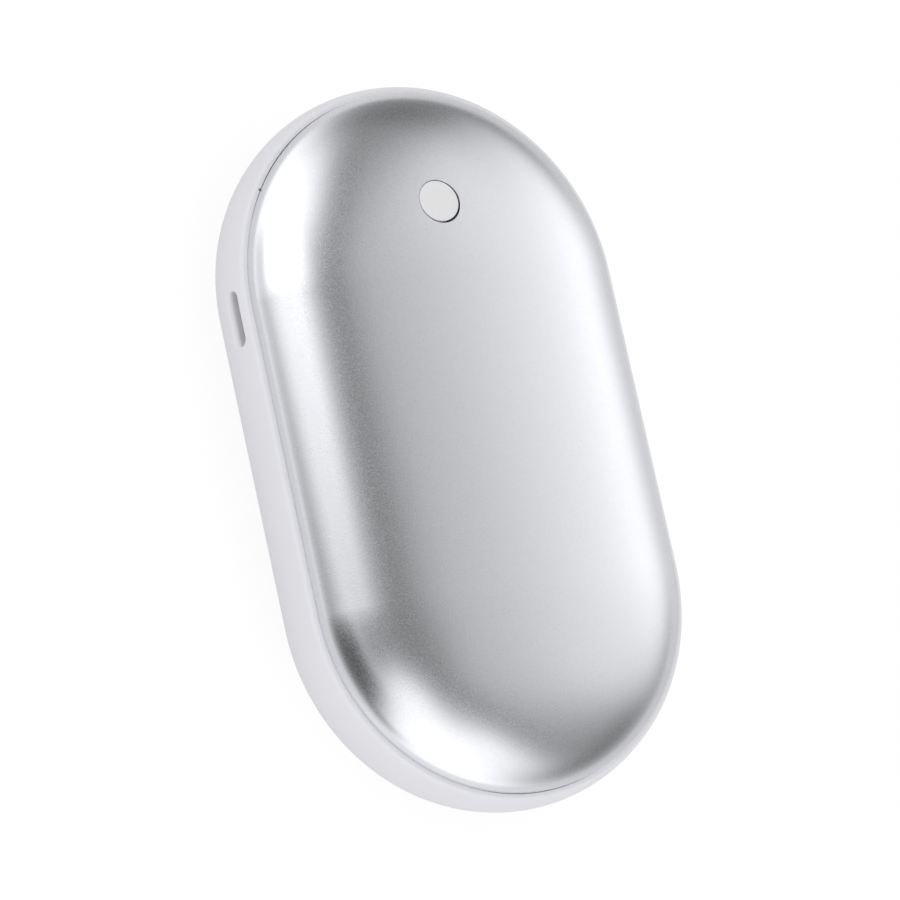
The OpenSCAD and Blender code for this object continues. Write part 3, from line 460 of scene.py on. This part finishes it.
def belt_inside():
    """The rest of the middle frame: its inner wall, web, bosses and port pocket."""
    mesh = bpy.data.meshes.new("belt_inside")
    bm = bmesh.new()
    bm.from_mesh(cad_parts["mid_frame"].data)
    bmesh.ops.remove_doubles(bm, verts=bm.verts, dist=1e-7)

    def outside(face):
        x, y, z = (c / MM for c in face.calc_center_median())
        rho = math.hypot(x, max(abs(y) - STRAIGHT, 0))
        if x < POCKET_X - NEAR and off_slot(y, z, 0) < NEAR and x < -SEAT_R:
            return True
        near_edge = abs(z - MID_Z) > HALF_BELT - RIM_DEPTH - NEAR and rho > SEAT_R + NEAR
        return near_edge or rho > CORNER_R and abs(z - MID_Z) <= HALF_BELT

    bmesh.ops.delete(bm, geom=[f for f in bm.faces if outside(f)], context="FACES")
    bm.to_mesh(mesh)
    bm.free()
    mesh.shade_smooth()
    mesh.set_sharp_from_angle(angle=math.radians(30))
    return settle(bpy.data.objects.new("belt_inside", mesh), "white_belt", "housing", "mid_frame")


# ---- The button ----

def button():
    """The button cap: its crown, which follows the shell's face, and its edge, flange and stem."""
    low, _ = (corner[2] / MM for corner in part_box("button_cap"))
    flange_z = flange_bottom()
    face, skin = Dome(1, 0.0, 0, 1), Skin()
    ways = circle(0, 0, 1, HOLE_STEPS)

    def ring(r, z, out, up):
        return [skin.add((r * c, BUTTON_Y + r * d, z), (out * c, out * d, up)) for c, d in ways]

    profile = [(r, math.pi / 2) for r in CROWN_RINGS]
    for k in range(SMALL_EDGE + 1):
        a = math.pi / 2 * (1 - k / SMALL_EDGE)
        profile.append((CAP_SHOWN - CAP_EDGE * (1 - math.cos(a)), a))
    crown = []
    for r, a in profile:
        row = []
        for c, d in ways:
            (x, y, z), normal = face.over(r * c, BUTTON_Y + r * d)
            facing = Vector(normal).normalized() * math.sin(a) + Vector((c, d, 0)) * math.cos(a)
            row.append(skin.add((x, y, z - CAP_EDGE * (1 - math.sin(a))), facing))
        crown.append(row)
    skin.rows(crown)
    skin.cap(crown[0])
    flange_r, stem_r, flange_top = CAP_R + FLANGE_W, STEM_D / 2, flange_z + FLANGE_T
    skin.strip(crown[-1], ring(CAP_SHOWN, flange_top, 1, 0))
    for r0, z0, r1, z1, out, up in (
        (CAP_SHOWN, flange_top, flange_r, flange_top, 0, 1),
        (flange_r, flange_top, flange_r, flange_z, 1, 0),
        (flange_r, flange_z, stem_r, flange_z, 0, -1),
        (stem_r, flange_z, stem_r, low, 1, 0),
        (stem_r, low, POLE_R, low, 0, -1),
    ):
        last = ring(r1, z1, out, up)
        skin.strip(ring(r0, z0, out, up), last)
    skin.cap(last)
    return skin.piece("button_top", "white_button", "button", "button_cap")


def flange_bottom():
    """Height of the underside of the button's flange, which the cap's own solid shows."""
    found = [
        v.co[2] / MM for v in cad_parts["button_cap"].data.vertices
        if math.hypot(v.co[0], v.co[1] - BUTTON_Y * MM) > (CAP_R + FLANGE_W / 2) * MM
    ]
    return min(found)


def snap_dome():
    """The switch's snap dome in its rest shape, with a mesh of its own. The real one flattens under the
    plunger as the button goes down.
    """
    low, high = (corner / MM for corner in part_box("switch_dome"))
    r, h, foot = high[0], high[2] - low[2], Vector((0, BUTTON_Y, low[2]))
    ball, skin, ways = (r * r + h * h) / (2 * h), Skin(), circle(0, 0, 1, SNAP_STEPS)
    feet = []
    for sphere, side in ((ball, 1), (ball - SNAP_T, -1)):
        wide, rows = math.acos((ball - h) / sphere), []
        for k in range(SNAP_ROWS + 1):
            a = max(wide * k / SNAP_ROWS, POLE_R / sphere)
            out, up = math.sin(a), math.cos(a)
            rows.append([
                skin.add(foot + Vector((sphere * out * c, sphere * out * d, h - ball + sphere * up)),
                         (side * out * c, side * out * d, side * up))
                for c, d in ways
            ])
        skin.rows(rows)
        skin.cap(rows[0])
        feet.append([skin.add(skin.points[i], (0, 0, -1)) for i in rows[-1]])
    skin.strip(*feet)
    obj = skin.piece("snap_dome", "spring_metal", "housing", "switch_dome")
    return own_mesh(obj)


# ---- Finishes ----

def node(tree, kind, inputs=(), **settings):
    """A shader node with its settings, and its inputs set or linked by name or number."""
    made = tree.nodes.new("ShaderNode" + kind)
    for key, value in settings.items():
        setattr(made, key, value)
    for key, value in dict(inputs).items():
        if isinstance(value, bpy.types.NodeSocket):
            tree.links.new(value, made.inputs[key])
        else:
            made.inputs[key].default_value = value
    return made


def maths(tree, operation, a, b=0.0, clamp=False):
    return node(tree, "Math", {0: a, 1: b}, operation=operation, use_clamp=clamp).outputs[0]


def ramp(tree, value, low, high, out_low=0.0, out_high=1.0, smooth=True):
    """value from low to high becomes out_low to out_high, and stays there beyond."""
    kind = "SMOOTHSTEP" if smooth else "LINEAR"
    inputs = {"Value": value, "From Min": low, "From Max": high, "To Min": out_low, "To Max": out_high}
    return node(tree, "MapRange", inputs, interpolation_type=kind).outputs["Result"]


def noise(tree, size, detail=2.0, stretch=(1, 1, 1), roughness=0.5):
    """Noise over the object whose bumps are about size millimetres across."""
    place = node(tree, "TexCoord").outputs["Object"]
    scaled = node(tree, "Mapping", {"Vector": place, "Scale": [1 / s for s in stretch]}).outputs[0]
    inputs = {"Vector": scaled, "Scale": 1 / (size * MM), "Detail": detail, "Roughness": roughness}
    return node(tree, "TexNoise", inputs).outputs["Fac"]


def cells(tree, size, feature="F1"):
    place = node(tree, "TexCoord").outputs["Object"]
    inputs = {"Vector": place, "Scale": 1 / (size * MM)}
    return node(tree, "TexVoronoi", inputs, feature=feature).outputs["Distance"]


def blend(tree, amount, first, second):
    made = node(tree, "Mix", data_type="RGBA")
    for key, value in (("Factor_Float", amount), ("A_Color", (*first, 1)), ("B_Color", (*second, 1))):
        socket = next(s for s in made.inputs if s.identifier == key)
        if isinstance(value, bpy.types.NodeSocket):
            tree.links.new(value, socket)
        else:
            socket.default_value = value
    return next(s for s in made.outputs if s.identifier == "Result_Color")


def finish_slot(slot, colour, other, rough, grain, depth, mottle=3.0, metallic=0.0, stretch=(1, 1, 1),
                pattern="noise"):
    """A finish: two colours that mottle, a range of roughness, and a bump by its grain and depth in mm."""
    material = bpy.data.materials[slot]
    material.use_nodes = True
    tree = material.node_tree
    tree.nodes.clear()
    spread = ramp(tree, noise(tree, mottle, 4.0), 0.3, 0.7)
    relief = cells(tree, grain) if pattern == "cells" else noise(tree, grain, 2.0, stretch)
    bump = node(tree, "Bump", {"Height": relief, "Distance": depth * MM, "Strength": 1.0})
    shader = node(tree, "BsdfPrincipled", {
        "Base Color": blend(tree, spread, colour, other),
        "Roughness": ramp(tree, noise(tree, mottle / 3, 3.0, stretch), 0.3, 0.7, *rough),
        "Metallic": metallic, "Normal": bump.outputs[0],
    })
    out = node(tree, "OutputMaterial")
    tree.links.new(shader.outputs[0], out.inputs["Surface"])


finish_slot("blasted_aluminium", (0.80, 0.808, 0.842), (0.81, 0.818, 0.852), (0.217, 0.275), 0.25, 0.0025,
            mottle=0.6, metallic=1.0)
finish_slot("white_belt", (0.80, 0.80, 0.835), (0.81, 0.81, 0.845), (0.5, 0.58), 0.25, 0.0015, mottle=9.0)
finish_slot("white_button", (0.79, 0.79, 0.80), (0.805, 0.805, 0.815), (0.38, 0.46), 0.2, 0.0015)
finish_slot("dark_liner", (0.045, 0.045, 0.05), (0.06, 0.06, 0.066), (0.5, 0.65), 0.3, 0.01)
finish_slot("glue", (0.68, 0.64, 0.50), (0.60, 0.56, 0.42), (0.2, 0.35), 1.5, 0.05)
finish_slot("switch_black", (0.018, 0.018, 0.02), (0.03, 0.03, 0.032), (0.4, 0.55), 0.2, 0.004)
finish_slot("spring_metal", (0.66, 0.50, 0.25), (0.58, 0.44, 0.22), (0.2, 0.32), 0.15, 0.002, metallic=1.0)
finish_slot("plated_steel", (0.62, 0.63, 0.64), (0.56, 0.57, 0.58), (0.24, 0.36), 0.1, 0.002, metallic=1.0,
            stretch=(12, 1, 1))
finish_slot("circuit_board", (0.02, 0.17, 0.07), (0.05, 0.25, 0.12), (0.2, 0.3), 0.35, 0.004, mottle=1.2)
finish_slot("port_black", (0.014, 0.014, 0.014), (0.025, 0.025, 0.025), (0.45, 0.6), 0.15, 0.003)
finish_slot("contact_gold", (0.80, 0.58, 0.22), (0.72, 0.52, 0.2), (0.2, 0.3), 0.1, 0.001, metallic=1.0)
finish_slot("chip_black", (0.022, 0.022, 0.025), (0.035, 0.035, 0.038), (0.5, 0.65), 0.12, 0.004)
finish_slot("led_lens", (0.85, 0.80, 0.58), (0.90, 0.86, 0.66), (0.08, 0.15), 0.5, 0.002)
finish_slot("capacitor_tan", (0.42, 0.28, 0.15), (0.36, 0.24, 0.13), (0.4, 0.5), 0.15, 0.004)
finish_slot("resistor_black", (0.02, 0.022, 0.03), (0.03, 0.03, 0.04), (0.25, 0.4), 0.15, 0.002)
finish_slot("solder", (0.66, 0.67, 0.68), (0.58, 0.59, 0.6), (0.12, 0.25), 0.5, 0.01, metallic=1.0)
finish_slot("cell_foil", (0.50, 0.52, 0.55), (0.56, 0.58, 0.6), (0.3, 0.42), 2.5, 0.08, metallic=1.0)
finish_slot("nickel", (0.60, 0.60, 0.56), (0.54, 0.54, 0.5), (0.25, 0.35), 0.15, 0.002, metallic=1.0,
            stretch=(1, 14, 1))
finish_slot("amber_tape", (0.62, 0.28, 0.04), (0.54, 0.23, 0.03), (0.15, 0.25), 1.8, 0.03)
finish_slot("red_wire", (0.50, 0.02, 0.02), (0.42, 0.015, 0.015), (0.35, 0.45), 0.4, 0.004)
finish_slot("black_wire", (0.02, 0.02, 0.02), (0.035, 0.035, 0.035), (0.35, 0.45), 0.4, 0.004)
finish_slot("grey_foam", (0.09, 0.095, 0.10), (0.13, 0.135, 0.14), (0.8, 0.95), 0.35, 0.12, pattern="cells")
finish_slot("heater_film", (0.50, 0.20, 0.03), (0.42, 0.16, 0.02), (0.15, 0.25), 3.0, 0.02)
finish_slot("track_metal", (0.35, 0.35, 0.32), (0.3, 0.3, 0.27), (0.35, 0.5), 0.2, 0.004, metallic=1.0)
finish_slot("white_wire", (0.72, 0.72, 0.68), (0.66, 0.66, 0.62), (0.4, 0.5), 0.4, 0.004)
finish_slot("sensor_bead", (0.20, 0.04, 0.02), (0.16, 0.03, 0.015), (0.12, 0.2), 0.6, 0.01)
finish_slot("bare_wire", (0.45, 0.46, 0.48), (0.38, 0.39, 0.41), (0.25, 0.35), 0.15, 0.003, metallic=1.0)
finish_slot("screw_steel", (0.42, 0.43, 0.45), (0.36, 0.37, 0.39), (0.25, 0.35), 0.2, 0.004, metallic=1.0)

shell("front_dome", 1, 0.0, True, "front_shell")
shell("back_dome", -1, LAND_W / 2, False, "back_shell")
belt()
belt_inside()
button()
snap_dome()


# ---- Camera, as fitted to the photograph's outline, seam and button ----

# Its axes, its place in metres, and its focal length and sensor in millimetres
RIGHT, UP, BACK = (0.86323, -0.21167, 0.45828), (0.10985, 0.96485, 0.23872), (-0.49271, -0.15573, 0.85615)
CAMERA_PLACE = (-0.26104, -0.08305, 0.46440)
FOCAL_LENGTH, SENSOR_W = 157.42, 36

camera_data = bpy.data.cameras.new("camera")
camera_data.lens = FOCAL_LENGTH
camera_data.sensor_width = SENSOR_W
camera_data.clip_start, camera_data.clip_end = 0.05, 20
camera = bpy.data.objects.new("camera", camera_data)
turn = Matrix((RIGHT, UP, BACK)).transposed()
camera.matrix_world = Matrix.Translation(CAMERA_PLACE) @ turn.to_4x4()
bpy.context.scene.collection.objects.link(camera)
bpy.context.scene.camera = camera


# ---- Studio ----

def seen(tree):
    """1 for the rays that show the background: to the camera, in metal and through glass."""
    rays = node(tree, "LightPath").outputs
    both = maths(tree, "MAXIMUM", rays["Is Camera Ray"], rays["Is Glossy Ray"])
    return maths(tree, "MAXIMUM", both, rays["Is Transmission Ray"]), rays["Is Camera Ray"]


# The floor's radius in metres, the steps round it, and how far it lies under the object
FLOOR_R, FLOOR_STEPS, FLOOR_DROP = 4.0, 96, 0.00002

# The pale floor: its share of glow, its strength to the camera and in metal, and the painted light and shade
# on it that
# only the metal shows: a brighter part of painted light on the lamps' side and two greyer parts of painted
# shade on the side away from them, each with its strength, azimuth, half width and softness
FLOOR_SHARE, FLOOR_GLOW, FLOOR_IN_METAL = 0.75, 1.12, 0.75
FLOOR_PAINTED_LIGHT_AND_SHADE = (("painted_light_pool", 0.96, -112, 24, 16), ("painted_shade_a", 0.65, -42, 20, 14), ("painted_shade_b", 0.67, 46, 22, 14))


def floor():
    """A pale floor that keeps a faint soft shadow under the object, with painted light and shade on it that
    only the metal shows.
    """
    bm = bmesh.new()
    bmesh.ops.create_circle(bm, cap_ends=True, segments=FLOOR_STEPS, radius=FLOOR_R)
    mesh = bpy.data.meshes.new("floor")
    bm.to_mesh(mesh)
    bm.free()
    obj = bpy.data.objects.new("floor", mesh)
    obj.location[2] = -FLOOR_DROP
    bpy.context.scene.collection.objects.link(obj)
    material = bpy.data.materials.new("pale_floor")
    material.use_nodes = True
    tree = material.node_tree
    tree.nodes.clear()
    show, camera_ray = seen(tree)
    matt = node(tree, "BsdfDiffuse", {"Color": (0.8, 0.8, 0.8, 1)}).outputs[0]
    place, level = compass(tree, node(tree, "TexCoord").outputs["Object"]), FLOOR_IN_METAL
    # Painted light and painted shade laid on the floor by azimuth, seen only in the metal; the camera sees
    # the floor evenly bright
    for name, strength, azimuth, half, soft in FLOOR_PAINTED_LIGHT_AND_SHADE:
        level = laid_over(tree, level, sector(tree, place, azimuth, half, soft), strength)
    strength = laid_over(tree, level, camera_ray, FLOOR_GLOW)
    glow = node(tree, "Emission", {"Color": (1, 1, 1, 1), "Strength": strength}).outputs[0]
    amount = maths(tree, "MULTIPLY", show, FLOOR_SHARE)
    mixed = node(tree, "MixShader", {0: amount, 1: matt, 2: glow}).outputs[0]
    tree.links.new(mixed, node(tree, "OutputMaterial").inputs["Surface"])
    obj.data.materials.append(material)


# The even light that matt surfaces get from the surround
PLAIN_LEVEL = 0.78


def compass(tree, place):
    """The X, Y and Z of a direction or place, and how far it lies from the Z axis."""
    split = node(tree, "SeparateXYZ", {0: place}).outputs
    x, y = split[0], split[1]
    squares = [maths(tree, "MULTIPLY", part, part) for part in (x, y)]
    flat = maths(tree, "SQRT", maths(tree, "ADD", *squares))
    return x, y, split[2], maths(tree, "MAXIMUM", flat, 1e-4)


def sector(tree, direction, azimuth, half, soft):
    """1 within so many degrees of an azimuth, with soft edges."""
    x, y, _, flat = direction
    a = math.radians(azimuth)
    shares = [maths(tree, "MULTIPLY", part, turn) for part, turn in ((x, math.cos(a)), (y, math.sin(a)))]
    along = maths(tree, "ADD", *shares)
    edge = [math.cos(math.radians(min(half + soft, 180))), math.cos(math.radians(max(half - soft, 0)))]
    return ramp(tree, maths(tree, "DIVIDE", along, flat), *edge)


def laid_over(tree, level, mask, strength):
    """The level, with the strength in its place where the mask is 1."""
    change = maths(tree, "SUBTRACT", strength, level)
    return maths(tree, "ADD", level, maths(tree, "MULTIPLY", mask, change))


def window(tree, direction, azimuth, half, soft, top, top_soft, bottom, bottom_soft):
    """A soft-edged patch of the studio about an azimuth, between two angles from straight up."""
    z = direction[2]
    sideways = sector(tree, direction, azimuth, half, soft)
    upper = [math.cos(math.radians(angle)) for angle in (top + top_soft, max(top - top_soft, 0))]
    lower = [math.cos(math.radians(angle)) for angle in (bottom + bottom_soft, bottom - bottom_soft)]
    below = ramp(tree, z, *upper, 1, 0)
    above = ramp(tree, z, *lower)
    return maths(tree, "MULTIPLY", sideways, maths(tree, "MULTIPLY", below, above))


def studio():
    """A white surround, the soft boxes and grey flags that the metal shows, and a plain level of light."""
    world = bpy.data.worlds.new("studio")
    bpy.context.scene.world = world
    world.use_nodes = True
    world.cycles.sampling_method = "NONE"
    tree = world.node_tree
    tree.nodes.clear()
    direction = compass(tree, node(tree, "TexCoord").outputs["Generated"])
    level = CEILING[0][1]
    for (low, before), (high, after) in zip(CEILING, CEILING[1:]):
        step = ramp(tree, direction[2], low, high, 0, after - before, smooth=False)
        level = maths(tree, "ADD", level, step)
    for name, strength, *shape in PATCHES:
        level = laid_over(tree, level, window(tree, direction, *shape), strength)
    show, camera_ray = seen(tree)
    surround = node(tree, "Background", {"Strength": laid_over(tree, level, camera_ray, 1.0)}).outputs[0]
    plain = node(tree, "Background", {"Strength": PLAIN_LEVEL}).outputs[0]
    surround.node.inputs["Color"].default_value = (1, 1, 1, 1)
    plain.node.inputs["Color"].default_value = (1, 1, 1, 1)
    mixed = node(tree, "MixShader", {0: show, 1: plain, 2: surround}).outputs[0]
    tree.links.new(mixed, node(tree, "OutputWorld").inputs["Surface"])


# A bright surround under a ceiling that darkens towards the zenith, given by height and strength. Then three
# grey flags, three soft boxes, the two gaps beside them, the paler ceiling ahead of the camera and a light
# shade low on the left. Each has its strength, azimuth and half width, top edge and bottom edge, and after
# each of the last three its softness, all in degrees
CEILING = ((0.865, 1.31), (0.955, 0.17), (1.0, 0.17))
PATCHES = (
    ("flag_left", 0.07, -159.5, 31.5, 11, 25, 5, 82, 33),
    ("flag_top", 0.25, 53.5, 24.5, 24.5, 50, 16, 100, 10),
    ("flag_right", 0.23, -31, 25, 32, 50, 21, 104, 39),
    ("box_a", 1.86, 128, 16.5, 17.5, 13, 4, 56, 3),
    ("box_b", 1.35, -107, 18, 21, 10.5, 3, 62, 3),
    ("box_c", 1.93, 12, 20, 20.5, 61, 23, 72, 14),
    ("gap_a", 0.02, 65.5, 10, 13, 0, 3, 54, 40),
    ("gap_b", 0.02, -37.5, 11, 12, 2, 4, 50, 40),
    ("ceiling_ahead", 0.62, 13, 51, 5, 7, 11, 31, 31),
    ("shade_left", 0.8, 150, 12, 4, 53, 4, 82, 16),
)


def lamp(name, azimuth, elevation, distance, size, power):
    """A soft square lamp that looks at the object. The metal shows the studio's soft boxes in its place."""
    data = bpy.data.lights.new(name, "AREA")
    data.shape, data.size, data.energy = "SQUARE", size, power
    obj = bpy.data.objects.new(name, data)
    a, e = math.radians(azimuth), math.radians(elevation)
    away = Vector((math.cos(a) * math.cos(e), math.sin(a) * math.cos(e), math.sin(e)))
    obj.location = away * distance
    obj.rotation_mode = "QUATERNION"
    obj.rotation_quaternion = away.to_track_quat("Z", "Y")
    obj.visible_glossy = False
    bpy.context.scene.collection.objects.link(obj)


# Azimuth and elevation in degrees, distance and size in metres, power in watts
lamp("lamp_a", 145, 32, 1.0, 0.7, 1.45)
lamp("lamp_b", -97, 30, 1.0, 0.7, 1.7)
lamp("lamp_c", 14, 30, 1.0, 0.5, 0.5)
floor()
studio()

bpy.context.scene.view_settings.view_transform = "Standard"
